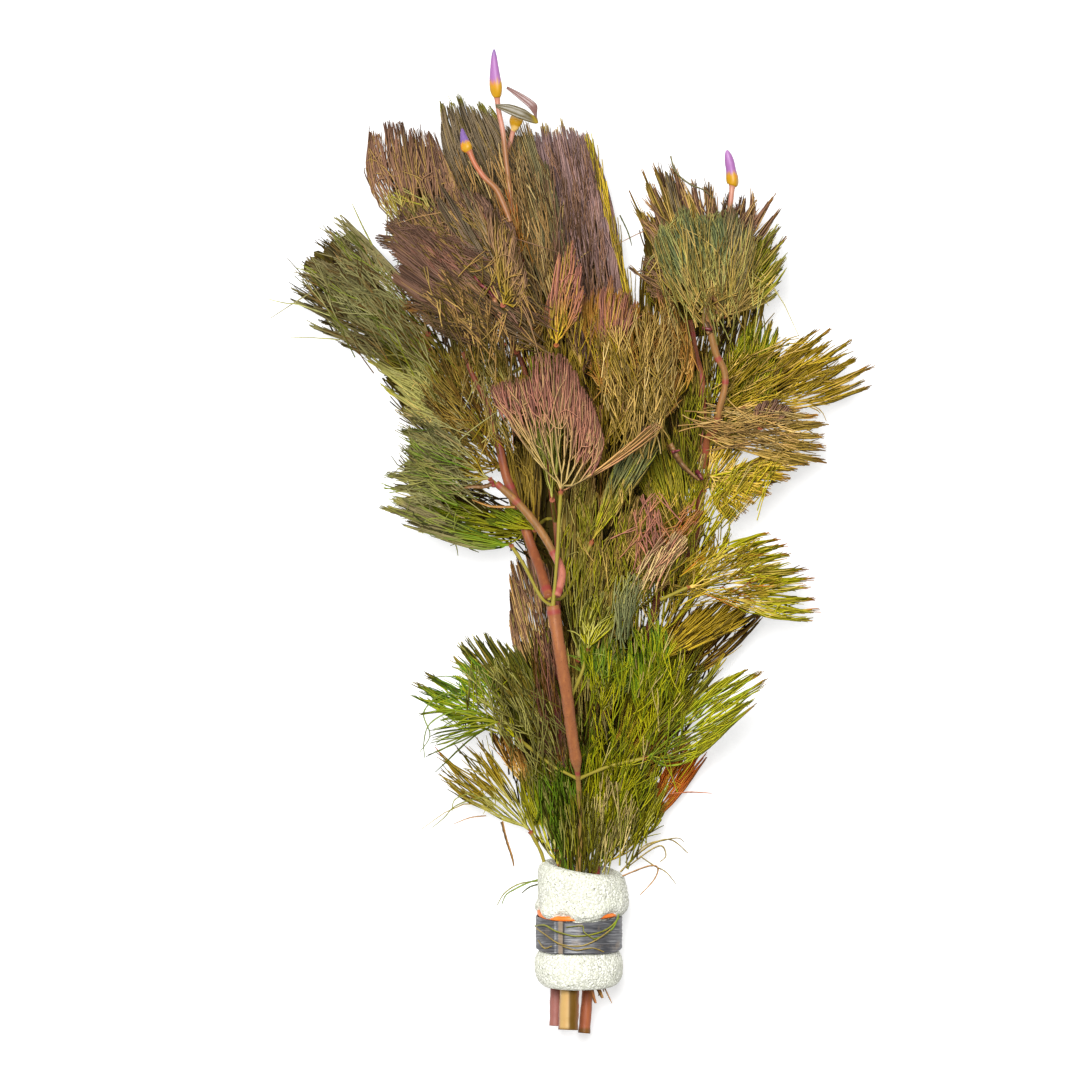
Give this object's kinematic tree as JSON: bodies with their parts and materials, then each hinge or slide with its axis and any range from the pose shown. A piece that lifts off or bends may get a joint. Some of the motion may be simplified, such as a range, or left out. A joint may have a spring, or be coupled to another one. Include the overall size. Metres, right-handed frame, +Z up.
{
  "type": "cut bunch of forked fanwort",
  "caption": "Cut bunch of forked fanwort with fan-shaped feathery leaves and flower buds, tied by a foam collar, rubber band and lead strip, lying flat.",
  "frame": {"origin": "on the resting surface, under the centre of the bunch's bounding box", "axes": "+Y along the bunch from the cut stem ends to the flower buds, +X to the right as seen from above, +Z up, away from the surface that the bunch lies on"},
  "size_m": [0.1515, 0.246, 0.0427],
  "materials": {
    "foam": "matte",
    "lead": "satin",
    "rubber": "satin",
    "stem": "satin",
    "bud": "satin",
    "faded_flower": "satin",
    "floating_leaf": "satin",
    "mauve_leaf": "satin",
    "pink_leaf": "satin",
    "grey_leaf": "satin",
    "green_leaf": "satin",
    "dark_leaf": "satin",
    "olive_leaf": "satin",
    "yellow_leaf": "satin",
    "orange_leaf": "satin"
  },
  "bodies": {
    "root": {"back_leaf_centre": "dark_leaf", "back_leaf_left": "dark_leaf", "back_leaf_low": "dark_leaf", "back_leaf_right": "dark_leaf", "behind_stem_leaf": "olive_leaf", "bright_leaf": "green_leaf", "brown_strip_leaf": "mauve_leaf", "centre_front_leaf": "pink_leaf", "centre_right_leaf": "dark_leaf", "centre_top_leaf": "pink_leaf", "collar_leaf_left": "dark_leaf", "collar_leaf_right": "grey_leaf", "dark_small_leaf": "dark_leaf", "faded_flower": "faded_flower", "far_left_leaf": "grey_leaf", "far_left_low_leaf": "green_leaf", "floating_leaf": "floating_leaf", "foam_collar": "foam", "front_left_branch": "stem", "front_middle_branch": "stem", "front_stem": "stem", "green_fan_leaf": "green_leaf", "inner_strip_leaf": "pink_leaf", "lead_strip": "lead", "left_bud": "bud", "left_front_leaf": "olive_leaf", "left_mid_leaf": "green_leaf", "left_stem": "stem", "left_upper_leaf": "olive_leaf", "low_left_leaf": "green_leaf", "low_left_shade_leaf": "dark_leaf", "low_right_leaf": "green_leaf", "lower_right_leaf": "yellow_leaf", "lower_right_shade_leaf": "olive_leaf", "lowest_left_leaf": "olive_leaf", "orange_leaf": "orange_leaf", "right_back_branch": "stem", "right_back_leaf": "mauve_leaf", "right_bud": "bud", "right_centre_leaf": "olive_leaf", "right_high_leaf": "olive_leaf", "right_low_leaf": "yellow_leaf", "right_mid_leaf": "olive_leaf", "right_shoot_leaf": "grey_leaf", "right_shoot_left_leaf": "mauve_leaf", "right_shoot_side_leaf": "green_leaf", "right_shoot_stem": "stem", "right_stem": "stem", "right_upright_leaf": "green_leaf", "rubber_band": "rubber", "shoot_leaf_left": "mauve_leaf", "shoot_leaf_low": "mauve_leaf", "shoot_leaf_right": "mauve_leaf", "shoot_leaf_up": "mauve_leaf", "stem_side_leaf": "dark_leaf", "top_bud": "bud", "top_centre_leaf": "grey_leaf", "top_left_leaf": "mauve_leaf", "top_wide_leaf": "mauve_leaf", "tuft_leaf": "orange_leaf"}
  },
  "joints": []
}
